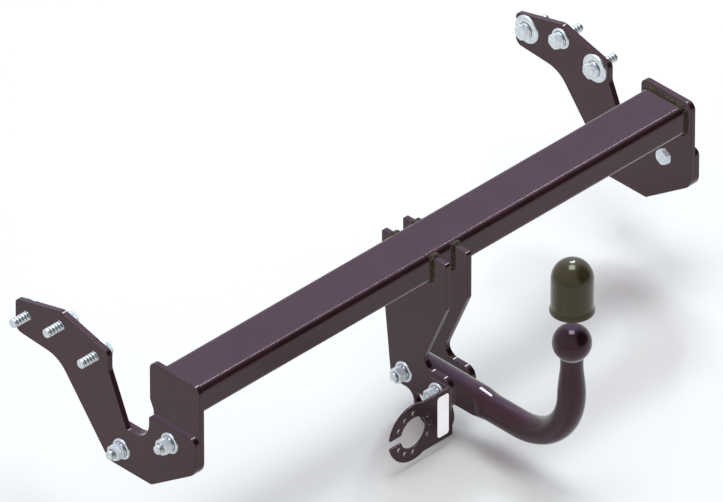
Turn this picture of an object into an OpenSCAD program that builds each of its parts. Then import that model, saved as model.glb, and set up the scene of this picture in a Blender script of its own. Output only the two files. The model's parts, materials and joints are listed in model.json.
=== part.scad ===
// Fixed crossbar towbar with a bolted swan neck, a 50 mm ball and its pull-off cap.
// The origin is the centre of the ball. +X runs along the crossbar to the car's right,
// +Y points to the front of the car and +Z is up. All sizes are in millimetres.

/* [Ball and swan neck] */
// Diameter of the ball
ball_d = 50; // [46:0.5:60]
// Diameter of the flat on top of the ball
ball_flat_d = 17; // [8:0.5:24]
// Diameter of the stem right under the ball
stem_d = 29; // [24:0.5:33]
// Diameter of the forged bar round the bend
neck_d = 36; // [34:0.5:39]
// Radius of the bend, at the middle of the bar
bend_r = 90; // [70:1:110]
// Height of the ball's centre above the bar's axis
drop = 168; // [150:1:200]
// Diameter of the bar where it is clamped
tongue_d = 41; // [40:0.5:46]
// Thickness of the bar between its two flats
tongue_w = 29; // [24:0.5:34]
// Length of the shoulder between the bend's bar and the clamped bar
shoulder_l = 20; // [10:1:26]
// Length of the flats behind the rear neck bolt
flat_tail = 51.5; // [40:0.5:56]
// Length of the slope that ends each flat
flat_slope = 12; // [8:0.5:16]
// Bar ahead of the front neck bolt
tongue_nose = 22; // [18:0.5:24]

/* [Ball cap] */
// Wall of the cap
cap_wall = 1.6; // [1.2:0.1:3]
// Gap between the ball and the cap's inside
cap_gap = 0.4; // [0.3:0.1:1]
// Length of the straight skirt below the dome
cap_skirt = 47.4; // [30:0.2:52]
// How far the rim's lip stands out from the skirt
cap_lip = 1.7; // [0.8:0.1:3]
// Height of the rim's lip
cap_lip_h = 8; // [4:0.5:12]
// Height at which the cap is held above its seat on the ball
cap_lift = 96.3; // [90:0.1:120]

/* [Crossbar] */
// Length of the tube between the end plates
tube_l = 852; // [700:1:1000]
// Depth of the tube, front to back
tube_depth = 70; // [60:1:80]
// Height of the tube
tube_h = 40; // [34:1:50]
// Wall of the tube
tube_wall = 4; // [2.5:0.5:6]
// Outside corner radius of the tube
tube_corner = 8.5; // [7:0.5:12]
// Distance from the ball's centre forward to the tube's axis
bar_y = 255; // [250:1:262]
// Height of the tube's axis above the ball's centre
bar_z = 11.4; // [0:0.2:24]
// Leg of every weld bead
weld_leg = 5; // [3:0.5:7]

/* [End plates] */
// Thickness of the end plates
end_t = 8; // [5:0.5:12]
// Margin of the end plate round the tube
end_margin = 8.6; // [8:0.2:14]
// Corner radius at the top of the end plate
end_corner = 10; // [4:0.5:14]
// Depth below the tube's axis at which the end plate narrows
end_neck_z = 27.8; // [26:0.2:32]
// Front end of the end plate's low lobe, ahead of the tube's axis
end_lobe_y = 112; // [108:1:118]

/* [Side arms] */
// Thickness of the side arms
arm_t = 8; // [5:0.5:12]
// Front end of the arm, ahead of the tube's axis
arm_reach = 271; // [268:1:300]
// Top corner of the arm's front end, above the tube's axis
arm_end_top = 12; // [10:0.2:20]
// Low corner of the arm's front end, below the tube's axis
arm_end_low = 34; // [28:0.2:38]
// Place of the arm's highest point, ahead of the tube's axis
arm_peak_y = 190.5; // [180:0.5:200]
// Height of the arm's highest point above the tube's axis
arm_peak_z = 32.5; // [30:0.5:44]
// Rear edge of the arm's head, ahead of the tube's axis
arm_back_y = 108; // [98:1:110]
// Top corner of the head's rear edge, above the tube's axis
arm_back_top = 10.6; // [9:0.2:24]
// Low end of the head's rear edge, below the tube's axis
arm_back_low = 13.4; // [8:0.2:20]
// Inside corner under the arm's head, ahead of the tube's axis
arm_elbow_y = 195.7; // [180:0.5:205]
// Inside corner under the arm's head, below the tube's axis
arm_elbow_z = 39; // [34:0.5:44]
// Radius of the inside corner under the arm's head
arm_elbow_r = 42; // [20:1:50]

/* [Lugs under the tube] */
// Top edge of the arm's lug, below the tube's axis
lug_top = 45.4; // [42:0.2:50]
// Front edge of the lug's web, ahead of the tube's axis
lug_front = 37.4; // [34:0.2:42]
// Floor of the notch in front of the web, below the tube's axis
notch_floor = 87.9; // [80:0.5:94]
// Front end of the notch's floor, ahead of the tube's axis
notch_front = 76.5; // [72:0.5:82]
// Radius at the rear of the notch's floor
notch_r = 29; // [15:1:30]
// Corner at the low end of the lug's rear edge, below the tube's axis
lug_rear_low = 95.4; // [90:0.5:104]
// Rear end of the lowest edge, ahead of the tube's axis
lug_point = 34; // [26:0.5:44]
// Lowest edge, below the tube's axis
lug_low = 149.4; // [144:0.5:156]
// Front end of the lowest edge, ahead of the tube's axis
lug_foot = 108.5; // [104:0.5:112]
// Corner radius at the low end of the lug's rear edge
lug_corner = 20; // [10:1:30]

/* [Ear plates] */
// Thickness of the two ear plates
ear_t = 8; // [5:0.5:12]
// Rear edge of the ears behind the tube
ear_rear_horn = 24.3; // [20:0.1:28]
// Front edge of the ears in front of the tube
ear_front_horn = 17.9; // [14:0.1:22]
// Step from the tube's top down to the ears' horns
horn_step = 4.1; // [2:0.1:6]
// Low end of the straight rear edge, below the tube's axis
ear_rear_knee = 51.4; // [40:0.2:60]
// Low end of the straight front edge, below the tube's axis
ear_front_knee = 43.4; // [34:0.2:52]
// Radius of the front knee
ear_knee_r = 20; // [8:1:30]
// Nose behind the rear neck bolt
ear_nose = 19.5; // [17:0.5:20]
// Radius of the nose's two corners
nose_r = 14; // [8:0.5:16]
// Top edge of the nose, above the neck bolts
nose_top = 23.5; // [21:0.5:28]
// Low edge of the ear, below the neck bolts
ear_low = 22; // [20:0.5:26]
// Ear ahead of the front neck bolt
ear_toe = 23.5; // [20:0.5:27]
// Waist of the ear, ahead of the rear neck bolt
ear_waist = 33.8; // [30:0.2:38]
// Radius of the lobe under the ear
lobe_r = 32; // [30:0.5:34]
// Centre of the lobe, ahead of the rear neck bolt
lobe_y = 13.5; // [12:0.5:15]
// Centre of the lobe, below the neck bolts
lobe_z = 33; // [31:0.5:36]
// Radius of the fillet in front of the lobe
lobe_fillet = 14; // [8:1:18]
// Diameter of the breakaway cable's eye
eye_d = 16; // [10:0.5:18]
// Centre of the eye, ahead of the rear neck bolt
eye_y = 34; // [32:0.5:35]
// Centre of the eye, below the neck bolts
eye_z = 29; // [29:0.5:32]

/* [Socket plate] */
// Thickness of the socket plate
socket_t = 3; // [2:0.5:4]
// Radius of the round end of the socket plate
socket_end_r = 41; // [38:0.5:46]
// Height of the straight part of the socket plate
socket_strip_h = 74.5; // [70:0.5:76]
// Centre of the socket hole, outward from the ear's outer face
socket_out = 68.5; // [64:0.5:80]
// Centre of the socket hole, below the neck bolts
socket_low = 16; // [14:0.5:18]
// Diameter of the socket hole
socket_hole_d = 44; // [40:0.5:48]
// Width of the slot into the socket hole
socket_slot = 11.6; // [8:0.2:14]
// Diameter of the circle of the socket's screw holes
screw_circle_d = 58; // [56:0.5:62]
// Diameter of each screw hole
screw_hole_d = 6.4; // [4:0.2:7]
// Gap between the ear's nose and the socket plate
socket_gap = 0.4; // [0.3:0.1:1.5]
// Flange ahead of the rear neck bolt
flange_front = 16.2; // [14.5:0.1:17]
// Height of the flange, centred on the rear neck bolt
flange_h = 32; // [30:0.5:34]
// Width of the blank label
label_w = 19.5; // [12:0.5:22]
// Height of the blank label
label_h = 60.5; // [40:0.5:64]
// Gap between the bend and the foot under it
bend_relief = 1; // [0.5:0.1:2]
// Thickness of the blank label
label_t = 0.6; // [0.4:0.1:1]
// Gap from the label's inner edge to the bend
label_gap = 3.2; // [2:0.2:5]

/* [Fasteners] */
// Thread diameter of every bolt
bolt_d = 12; // [10:0.5:12]
// Diameter of every bolt hole
bolt_hole_d = 13; // [12.5:0.1:14]
// Width across the flats of heads and nuts
hex_af = 19; // [17:0.5:20]
// Height of a bolt's head
head_h = 8; // [6:0.5:9]
// Height of a nut
nut_h = 11; // [9:0.5:12]
// Outside diameter of the plain washers
washer_d = 28; // [24:0.5:29]
// Thickness of the plain washers
washer_t = 2.5; // [1.5:0.1:3]
// Outside diameter of the large washers
wide_washer_d = 38.6; // [32:0.2:40]
// Thickness of the large washers
wide_washer_t = 3; // [2:0.1:4]
// Outside diameter of the spring washers
spring_washer_d = 20.5; // [19:0.5:22]
// Thickness of the spring washers
spring_washer_t = 3; // [2:0.1:4]
// Split of a spring washer
spring_split = 1.6; // [1:0.1:3]
// Gap between a bolt and the nuts and washers on it
bolt_play = 0.1; // [0.1:0.05:0.4]
// Length of an upper bolt that stands out of its arm
stud_out = 26; // [20:0.5:32]
// End of a low bolt past its nut
low_bolt_end = 7; // [2:0.5:12]
// End of the rear neck bolt past its nut
neck_bolt_end = 1; // [0.5:0.5:8]
// Step from one thread ridge to the next
thread_pitch = 5.8; // [3:0.1:7]
// Length of the plain end of a thread
thread_land = 2; // [1.5:0.1:5]
// Depth of the grooves between the thread ridges
thread_depth = 0.9; // [0.4:0.1:1.2]
// Chamfer on bolt ends, heads and nuts
edge_chamfer = 0.8; // [0.4:0.1:1.2]

/* [Bolt places] */
// Rear neck bolt, ahead of the ball's centre
neck_bolt_y = 206.5; // [204:0.5:209]
// Distance between the two neck bolts
neck_bolt_pitch = 61.5; // [58:0.5:64]
// Rear low bolt, below the tube's axis
low_rear_z = 68.4; // [64:0.2:74]
// Front low bolt, ahead of the tube's axis
low_front_y = 84.5; // [80:0.5:90]
// Front low bolt, below the tube's axis
low_front_z = 120; // [112:0.5:126]
// Rear upper bolt, ahead of the tube's axis
high_rear_y = 130.6; // [129:0.2:136]
// Rear upper bolt, below the tube's axis
high_rear_z = 3.4; // [2:0.2:8]
// Middle upper bolt, ahead of the tube's axis
high_mid_y = 190.8; // [186:0.2:196]
// Middle upper bolt, above the tube's axis
high_mid_z = 12.4; // [6:0.2:14]
// Front upper bolt, behind the arm's front end
high_front_back = 21; // [20.5:0.1:26]
// Front upper bolt, below the tube's axis
high_front_z = 2.8; // [2:0.2:8]

/* [Hidden] */
$fn = 64;

// Largest turn of one straight piece in a rounded outline
arc_step = 7.5;
// A little more than a wall, so that a cut goes right through
eps = 1;

ball_r = ball_d / 2;
stem_r = stem_d / 2;
neck_r = neck_d / 2;
tongue_r = tongue_d / 2;
bolt_r = bolt_d / 2;
hole_r = bolt_hole_d / 2;
flat_x = tongue_w / 2;
ear_x = flat_x + ear_t;

// Where the stem starts to widen, below the ball's centre
stem_top = 30;
bend_top = drop - bend_r;
stem_steps = 8;

tube_top = tube_h / 2;
tube_rear = -tube_depth / 2;
tube_front = tube_depth / 2;
end_x = tube_l / 2;
arm_x = end_x + end_t;
arm_face_x = arm_x + arm_t;
lug_rear = tube_rear - end_margin;
horn_z = tube_top - horn_step;
bead_rise = 0.7 * horn_step;

neck_bolt_front_y = neck_bolt_y + neck_bolt_pitch;
flange_x = ear_x + socket_t;
nose_y = neck_bolt_y - ear_nose;
socket_front_y = nose_y - socket_gap;
socket_rear_y = socket_front_y - socket_t;
socket_x = -ear_x - socket_out;
socket_z = -drop - socket_low;
bend_out_r = socket_t + 1;

low_bolts = [[0, -low_rear_z], [low_front_y, -low_front_z]];
high_ends = [[high_rear_y, -high_rear_z], [arm_reach - high_front_back, -high_front_z]];
high_middle = [[high_mid_y, high_mid_z]];
high_bolts = concat(high_ends, high_middle);

low_stack = washer_t + spring_washer_t + nut_h;
high_stack = wide_washer_t + spring_washer_t;
hex_r = hex_af / 2 / cos(30);

paint = [0.30, 0.25, 0.28];
zinc = [0.78, 0.83, 0.86];
cap_black = [0.26, 0.25, 0.20];
weld_brown = [0.30, 0.26, 0.18];
white = [0.93, 0.92, 0.93];

function unit(v) = v / norm(v);
function shorter_turn(a) = a > 180 ? a - 360 : a < -180 ? a + 360 : a;

// The points of one rounded corner. Each corner is [y, z, radius], and the radius is limited by its edges.
// A fourth number is the share of an edge that the corner may take, where that isn't just under half.
function corner(before, at, after) =
    let(
        p = [at[0], at[1]],
        back = [before[0], before[1]] - p,
        on = [after[0], after[1]] - p,
        half = acos(unit(back) * unit(on)) / 2,
        share = len(at) > 3 ? at[3] : 0.48,
        r = min(at[2], share * min(norm(back), norm(on)) * tan(half))
    )
    r <= 0 ? [p] :
    let(
        centre = p + unit(unit(back) + unit(on)) * r / sin(half),
        first = p + unit(back) * r / tan(half) - centre,
        last = p + unit(on) * r / tan(half) - centre,
        start = atan2(first[1], first[0]),
        turn = shorter_turn(atan2(last[1], last[0]) - start),
        n = max(1, ceil(abs(turn) / arc_step))
    )
    [for (i = [0:n]) centre + r * [cos(start + turn * i / n), sin(start + turn * i / n)]];

// A closed outline from its corners
function rounded(c) =
    let(n = len(c))
    [for (i = [0:n - 1]) each corner(c[(i + n - 1) % n], c[i], c[(i + 1) % n])];

// The tube's outline in Y and Z, grown outward by g
function tube_outline(g = 0) =
    let(y = tube_depth / 2 + g, z = tube_h / 2 + g, r = tube_corner + g)
    rounded([[-y, z, r], [-y, -z, r], [y, -z, r], [y, z, r]]);

// Places a Y-Z outline as a plate from x0 to x0 + t
module plate_yz(x0, t) {
    translate([x0, 0, 0])
        rotate([90, 0, 90])
            linear_extrude(t)
                children();
}

// Places things on the tube's axis
module at_bar() {
    translate([0, bar_y, bar_z])
        children();
}

// Places things that are drawn for the right-hand side
module on_side(side) {
    if (side > 0)
        children();
    else
        mirror([1, 0, 0])
            children();
}

module holes_yz(places, r) {
    for (p = places)
        translate(p)
            circle(r);
}

// A cylinder along +X from x0
module rod_x(x0, l, r) {
    translate([x0, 0, 0])
        rotate([0, 90, 0])
            cylinder(h = l, r = r);
}

// Thread ridges along +X from 0 to l, turned, with flat crests and a plain end
module thread_x(l) {
    slope = thread_pitch * 0.12;
    groove = thread_pitch * 0.58;
    count = max(1, floor((l - thread_land - slope) / thread_pitch));
    side = [
        for (i = [0:count - 1])
            let(x = l - thread_land - (count - 1 - i) * thread_pitch)
            each [
                [bolt_r, x - groove],
                [bolt_r - thread_depth, x - groove + slope],
                [bolt_r - thread_depth, x - slope],
                [bolt_r, x]
            ]
    ];
    rotate([0, 90, 0])
        rotate_extrude()
            polygon(concat(
                [[0, 0], [bolt_r, 0]],
                side,
                [[bolt_r, l - edge_chamfer], [bolt_r - edge_chamfer, l], [0, l]]
            ));
}

// A hexagon along +X with one point up, chamfered at its +X end
module hex_x(h) {
    rotate([0, 90, 0])
        intersection() {
            cylinder(h = h, r = hex_r, $fn = 6);
            rotate_extrude()
                polygon([[0, 0], [hex_r + eps, 0], [hex_r + eps, h - edge_chamfer - eps / 2],
                    [hex_r - 2 * edge_chamfer, h], [0, h]]);
        }
}

// A bolt: its head ends at x0 and its threaded end is l further along +X
module bolt_x(x0, l, thread) {
    translate([x0, 0, 0]) {
        mirror([1, 0, 0])
            hex_x(head_h);
        rod_x(0, l - thread, bolt_r);
        translate([l - thread, 0, 0])
            thread_x(thread);
    }
}

module nut_x(x0) {
    translate([x0, 0, 0])
        difference() {
            hex_x(nut_h);
            rod_x(-eps, nut_h + 2 * eps, bolt_r + bolt_play);
        }
}

module washer_x(x0, t, d) {
    difference() {
        rod_x(x0, t, d / 2);
        rod_x(x0 - eps, t + 2 * eps, bolt_r + bolt_play);
    }
}

module spring_washer_x(x0) {
    difference() {
        washer_x(x0, spring_washer_t, spring_washer_d);
        translate([x0 + spring_washer_t / 2, 0, spring_washer_d / 2])
            rotate([0, 0, 30])
                cube([spring_washer_t * 3, spring_split, spring_washer_d], center = true);
    }
}

module crossbar_tube() {
    color(paint)
        at_bar()
            plate_yz(-tube_l / 2, tube_l)
                difference() {
                    polygon(tube_outline());
                    polygon(tube_outline(-tube_wall));
                }
}

module end_plate(side) {
    outline = rounded([
        [lug_rear, tube_top + end_margin, end_corner],
        [lug_rear, -lug_rear_low, lug_corner],
        [lug_point, -lug_low, 8],
        [lug_foot, -lug_low, 14],
        [end_lobe_y, -lug_low + 10, 8],
        [end_lobe_y, -notch_floor, 8],
        [lug_front, -notch_floor, notch_r, 0.75],
        [lug_front, -end_neck_z - 13.6, 6],
        [tube_front + end_margin, -end_neck_z, 6],
        [tube_front + end_margin, tube_top + end_margin, end_corner]
    ]);
    color(paint)
        on_side(side)
            at_bar()
                plate_yz(end_x, end_t)
                    difference() {
                        polygon(outline);
                        holes_yz(low_bolts, hole_r);
                    }
}

module side_arm(side) {
    outline = rounded([
        [lug_rear, -lug_top, 9],
        [lug_rear, -lug_rear_low, lug_corner],
        [lug_point, -lug_low, 8],
        [lug_foot, -lug_low, 14],
        [arm_elbow_y, -arm_elbow_z, arm_elbow_r],
        [arm_reach, -arm_end_low, 10],
        [arm_reach, arm_end_top, 6],
        [arm_peak_y, arm_peak_z, 15],
        [arm_back_y, arm_back_top, 8],
        [arm_back_y, -arm_back_low, 15],
        [notch_front, -notch_floor, 4],
        [lug_front, -notch_floor, notch_r, 0.75],
        [lug_front, -lug_top, 6]
    ]);
    color(paint)
        on_side(side)
            at_bar()
                plate_yz(arm_x, arm_t)
                    difference() {
                        polygon(outline);
                        holes_yz(low_bolts, hole_r);
                        holes_yz(high_bolts, hole_r);
                    }
}

// One weld bead along a line of points in Y and Z that lie on the tube. It fills the corner between the
// tube and a plate whose face is at x, on the side that dir points to. n gives each point's way out.
module bead(points, normals, x, dir, closed) {
    count = len(points);
    bulge = 0.62 * weld_leg;
    ring = [
        for (i = [0:count - 1])
            each [
                [x, points[i][0], points[i][1]],
                [x + dir * weld_leg, points[i][0], points[i][1]],
                [
                    x + dir * bulge,
                    points[i][0] + bulge * normals[i][0],
                    points[i][1] + bulge * normals[i][1]
                ],
                [x, points[i][0] + weld_leg * normals[i][0], points[i][1] + weld_leg * normals[i][1]]
            ]
    ];
    last = closed ? count - 1 : count - 2;
    walls = [
        for (i = [0:last], k = [0:3])
            let(a = 4 * i, b = 4 * ((i + 1) % count), m = (k + 1) % 4)
            each (dir > 0 ?
                [[a + k, b + k, b + m], [a + k, b + m, a + m]] :
                [[a + k, b + m, b + k], [a + k, a + m, b + m]])
    ];
    end = 4 * (count - 1);
    caps = closed ? [] : dir > 0 ?
        [[0, 1, 2], [0, 2, 3], [end, end + 2, end + 1], [end, end + 3, end + 2]] :
        [[0, 2, 1], [0, 3, 2], [end, end + 1, end + 2], [end, end + 2, end + 3]];
    polyhedron(points = ring, faces = concat(walls, caps));
}

// The way out at each point of a tube outline: from the middle of its nearest corner, or straight off
// its flat
function outward(p) =
    let(
        y = tube_depth / 2 - tube_corner,
        z = tube_h / 2 - tube_corner,
        c = [max(-y, min(y, p[0])), max(-z, min(z, p[1]))]
    )
    unit(p - c);

module end_weld(side) {
    line = tube_outline();
    color(weld_brown)
        on_side(side)
            at_bar()
                bead(line, [for (p = line) outward(p)], end_x, -1, true);
}

// The part of the tube's outline that an ear wraps: down the rear side, under the tube and up the front
function wrapped() = [for (p = tube_outline()) if (p[1] <= horn_z) p];

// The weld on top of a horn, between the horn and the tube's rounded corner
module horn_bead() {
    plate_yz(flat_x, ear_t)
        difference() {
            polygon([
                [tube_front, horn_z - weld_leg],
                [tube_front, horn_z],
                [tube_front + weld_leg, horn_z],
                [tube_front, horn_z + bead_rise],
                [tube_front - tube_corner, horn_z + bead_rise],
                [tube_front - tube_corner, horn_z - weld_leg]
            ]);
            polygon(tube_outline());
        }
}

module ear_welds(side) {
    line = wrapped();
    ways = [for (p = line) outward(p)];
    color(weld_brown)
        on_side(side)
            at_bar() {
                bead(line, ways, ear_x, 1, false);
                bead(line, ways, flat_x, -1, false);
                horn_bead();
                mirror([0, 1, 0])
                    horn_bead();
            }
}

// The points of an arc after its first one
function arc(centre, r, from, to) =
    let(n = ceil(abs(to - from) / arc_step))
    [for (i = [1:n])
        let(a = from + (to - from) * i / n)
        [centre[0] + r * cos(a), centre[1] + r * sin(a), 0]];

// The line round the lobe, from the nose's rear edge down, under the lobe and up its fillet to the low edge
function lobe_line(rear_bolt, axis_z) =
    let(
        low_z = axis_z - ear_low,
        nose = [rear_bolt - ear_nose + nose_r, low_z + nose_r],
        lobe = [rear_bolt + lobe_y, axis_z - lobe_z],
        reach = lobe_r + lobe_fillet,
        rise = low_z - lobe_fillet - lobe[1],
        fillet = lobe + [sqrt(reach * reach - rise * rise), rise],
        d = norm(lobe - nose),
        a = (nose_r * nose_r - lobe_r * lobe_r + d * d) / (2 * d),
        along = unit(lobe - nose),
        meet = nose + a * along + sqrt(nose_r * nose_r - a * a) * [along[1], -along[0]],
        leave = atan2(meet[1] - nose[1], meet[0] - nose[0]) + 360,
        start = atan2(meet[1] - lobe[1], meet[0] - lobe[0]),
        end = asin(rise / reach)
    )
    concat(
        [[nose[0] - nose_r, nose[1], 0]],
        arc(nose, nose_r, 180, leave),
        arc(lobe, lobe_r, start, 360 + end),
        arc(fillet, lobe_fillet, 180 + end, 90)
    );

// An ear: it wraps the tube from below, and its nose and its toe hold the neck bolts. The left one has a
// lobe with the eye for the breakaway cable.
module ear_plate(side) {
    axis_z = -drop - bar_z;
    rear_bolt = neck_bolt_y - bar_y;
    front_bolt = rear_bolt + neck_bolt_pitch;
    low_z = axis_z - ear_low;
    outline = rounded(concat(
        [
            [tube_rear - ear_rear_horn, horn_z, 3.5],
            [tube_rear - ear_rear_horn, -ear_rear_knee, 12],
            [rear_bolt + ear_waist, axis_z + nose_top, 14.5],
            [rear_bolt - ear_nose, axis_z + nose_top, nose_r]
        ],
        side < 0 ? lobe_line(rear_bolt, axis_z) : [[rear_bolt - ear_nose, low_z, nose_r]],
        [
            [front_bolt + ear_toe, low_z, 12],
            [tube_front + ear_front_horn, -ear_front_knee, ear_knee_r],
            [tube_front + ear_front_horn, horn_z, 2]
        ]
    ));
    color(paint)
        on_side(side)
            at_bar()
                plate_yz(flat_x, ear_t)
                    difference() {
                        polygon(outline);
                        polygon(tube_outline());
                        translate([tube_rear, 0])
                            square([tube_depth, tube_h]);
                        holes_yz([[rear_bolt, axis_z], [front_bolt, axis_z]], hole_r);
                        if (side < 0)
                            translate([rear_bolt + eye_y, axis_z - eye_z])
                                circle(eye_d / 2);
                    }
}

// Radius of the stem, which widens smoothly from the ball down to the bend
function stem_radius(t) = stem_r + (neck_r - stem_r) * t * t * (3 - 2 * t);

module swan_neck() {
    flat_y = neck_bolt_y - flat_tail;
    tongue_l = neck_bolt_front_y + tongue_nose - flat_y;
    shoulder_y = flat_y + 2 - shoulder_l;
    flat_z = ball_r * cos(asin(ball_flat_d / ball_d));
    color(paint)
        difference() {
            union() {
                difference() {
                    sphere(r = ball_r);
                    translate([-ball_r, -ball_r, flat_z])
                        cube([ball_d, ball_d, ball_r]);
                }
                rotate_extrude()
                    polygon(concat(
                        [[0, 0], [stem_r, 0], [stem_r, -stem_top]],
                        [for (i = [1:stem_steps])
                            let(t = i / stem_steps)
                            [stem_radius(t), -stem_top - (bend_top - stem_top) * t]],
                        [[0, -bend_top]]
                    ));
                translate([0, bend_r, -bend_top])
                    rotate([0, 90, 0])
                        rotate([0, 0, -90])
                            rotate_extrude(angle = 90)
                                translate([bend_r, 0])
                                    circle(neck_r);
                translate([0, bend_r, -drop])
                    rotate([-90, 0, 0])
                        rotate_extrude()
                            polygon([
                                [0, 0], [neck_r, 0],
                                [neck_r, shoulder_y - bend_r],
                                [tongue_r, shoulder_y + shoulder_l - bend_r],
                                [tongue_r, flat_y + tongue_l - bend_r - 2],
                                [tongue_r - 2, flat_y + tongue_l - bend_r],
                                [0, flat_y + tongue_l - bend_r]
                            ]);
            }
            for (side = [-1, 1])
                on_side(side)
                    translate([0, 0, -drop - tongue_d])
                        linear_extrude(2 * tongue_d)
                            polygon([
                                [flat_x, flat_y],
                                [tongue_d, flat_y - flat_slope * (tongue_d - flat_x) / (neck_r - flat_x)],
                                [tongue_d, flat_y + tongue_l + eps],
                                [flat_x, flat_y + tongue_l + eps]
                            ]);
            for (y = [neck_bolt_y, neck_bolt_front_y])
                translate([0, y, -drop])
                    rod_x(-tongue_d, 2 * tongue_d, hole_r);
        }
}

module ball_cap() {
    inner = ball_r + cap_gap;
    outer = inner + cap_wall;
    color(cap_black)
        translate([0, 0, cap_lift])
            difference() {
                union() {
                    sphere(r = outer);
                    translate([0, 0, -cap_skirt])
                        cylinder(h = cap_skirt, r = outer);
                    translate([0, 0, -cap_skirt])
                        rotate_extrude()
                            polygon([
                                [0, 0], [outer + cap_lip - 0.6, 0], [outer + cap_lip, 0.6],
                                [outer + cap_lip, cap_lip_h * 0.45],
                                [outer, cap_lip_h], [0, cap_lip_h]
                            ]);
                }
                sphere(r = inner);
                translate([0, 0, -cap_skirt - eps])
                    cylinder(h = cap_skirt + eps, r = inner);
            }
}

module at_bolts(side, places) {
    on_side(side)
        at_bar()
            for (p = places)
                translate([0, p[0], p[1]])
                    children();
}

module upper_bolts(side) {
    color(zinc)
        at_bolts(side, high_bolts)
            bolt_x(arm_x - high_stack, high_stack + arm_t + stud_out, stud_out);
}

module wide_washers(side) {
    color(zinc)
        at_bolts(side, high_ends)
            washer_x(arm_x - wide_washer_t, wide_washer_t, wide_washer_d);
}

module middle_washer(side) {
    color(zinc)
        at_bolts(side, high_middle)
            washer_x(arm_x - wide_washer_t, wide_washer_t, washer_d);
}

module upper_spring_washers(side) {
    color(zinc)
        at_bolts(side, high_bolts)
            spring_washer_x(arm_x - high_stack);
}

module low_bolts(side) {
    reach = end_t + arm_t + low_stack + low_bolt_end;
    color(zinc)
        at_bolts(side, low_bolts)
            bolt_x(end_x, reach, low_bolt_end + nut_h / 2);
}

module low_washers(side) {
    color(zinc)
        at_bolts(side, low_bolts)
            washer_x(arm_face_x, washer_t, washer_d);
}

module low_spring_washers(side) {
    color(zinc)
        at_bolts(side, low_bolts)
            spring_washer_x(arm_face_x + washer_t);
}

module low_nuts(side) {
    color(zinc)
        at_bolts(side, low_bolts)
            nut_x(arm_face_x + washer_t + spring_washer_t);
}

// Places things on a neck bolt. They are drawn along +X from the ear's outer face and face the car's left.
module at_neck_bolt(y) {
    mirror([1, 0, 0])
        translate([0, y, -drop])
            children();
}

module neck_bolt(y) {
    reach = 2 * ear_x + socket_t + low_stack + neck_bolt_end;
    color(zinc)
        at_neck_bolt(y)
            bolt_x(-ear_x, reach, 2 * nut_h);
}

module neck_washer(y, x) {
    color(zinc)
        at_neck_bolt(y)
            washer_x(x, washer_t, washer_d);
}

module neck_spring_washer(y, x) {
    color(zinc)
        at_neck_bolt(y)
            spring_washer_x(x + washer_t);
}

module neck_nut(y, x) {
    color(zinc)
        at_neck_bolt(y)
            nut_x(x + washer_t + spring_washer_t);
}

// An angle of sheet: one leg carries the socket and faces the rear, the other is held by the rear neck bolt
module socket_plate() {
    half_h = socket_strip_h / 2;
    strip_end = -ear_x - bend_out_r;
    flange_low = -drop - flange_h / 2;
    low = socket_z - half_h;
    foot = flange_low - low - bend_relief;
    color(paint) {
        difference() {
            union() {
                translate([0, socket_front_y, 0])
                    rotate([90, 0, 0])
                        linear_extrude(socket_t)
                            union() {
                                translate([socket_x, socket_z])
                                    circle(socket_end_r);
                                translate([socket_x, low])
                                    square([strip_end - socket_x, socket_strip_h]);
                                polygon(rounded([
                                    [strip_end - eps, low, 0], [-ear_x, low, 3.5],
                                    [-ear_x, low + foot, 0.6], [strip_end - eps, low + foot, 0]
                                ]));
                            }
                translate([strip_end, socket_rear_y + bend_out_r, flange_low])
                    rotate([0, 0, -90])
                        rotate_extrude(angle = 90)
                            translate([bend_out_r - socket_t, 0])
                                square([socket_t, flange_h]);
                translate([-flange_x, socket_rear_y + bend_out_r, flange_low])
                    cube([socket_t, neck_bolt_y + flange_front - socket_rear_y - bend_out_r, flange_h]);
            }
            translate([socket_x, socket_front_y + eps, socket_z])
                rotate([90, 0, 0]) {
                    cylinder(h = socket_t + 2 * eps, r = socket_hole_d / 2);
                    for (group = [0, 120, 240], a = [-30, 0, 30])
                        rotate([0, 0, group + a])
                            translate([screw_circle_d / 2, 0, 0])
                                cylinder(h = socket_t + 2 * eps, r = screw_hole_d / 2);
                }
            translate([socket_x - socket_end_r - eps, socket_rear_y - eps, socket_z - socket_slot / 2])
                cube([
                    socket_end_r + eps - socket_hole_d / 2 + socket_slot / 2,
                    socket_t + 2 * eps,
                    socket_slot
                ]);
            at_neck_bolt(neck_bolt_y)
                rod_x(ear_x - eps, socket_t + 2 * eps, hole_r);
        }
    }
}

module blank_label() {
    right = -ear_x - bend_out_r - label_gap;
    low = socket_z - label_h / 2;
    color(white)
        translate([0, socket_rear_y, 0])
            rotate([90, 0, 0])
                linear_extrude(label_t)
                    polygon(rounded([
                        [right - label_w, low, 4], [right, low, 4],
                        [right, low + label_h, 4], [right - label_w, low + label_h, 4]
                    ]));
}

crossbar_tube();
end_plate(-1);  // left_end_plate
end_plate(1);  // right_end_plate
end_weld(-1);  // left_end_weld
end_weld(1);  // right_end_weld
ear_plate(-1);  // left_ear_plate
ear_plate(1);  // right_ear_plate
ear_welds(-1);  // left_ear_welds
ear_welds(1);  // right_ear_welds
swan_neck();
ball_cap();
side_arm(-1);  // left_arm
side_arm(1);  // right_arm
upper_bolts(-1);  // left_upper_bolts
upper_bolts(1);  // right_upper_bolts
wide_washers(-1);  // left_wide_washers
wide_washers(1);  // right_wide_washers
middle_washer(-1);  // left_middle_washer
middle_washer(1);  // right_middle_washer
upper_spring_washers(-1);  // left_upper_spring_washers
upper_spring_washers(1);  // right_upper_spring_washers
low_bolts(-1);  // left_low_bolts
low_bolts(1);  // right_low_bolts
low_washers(-1);  // left_low_washers
low_washers(1);  // right_low_washers
low_spring_washers(-1);  // left_low_spring_washers
low_spring_washers(1);  // right_low_spring_washers
low_nuts(-1);  // left_low_nuts
low_nuts(1);  // right_low_nuts
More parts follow.
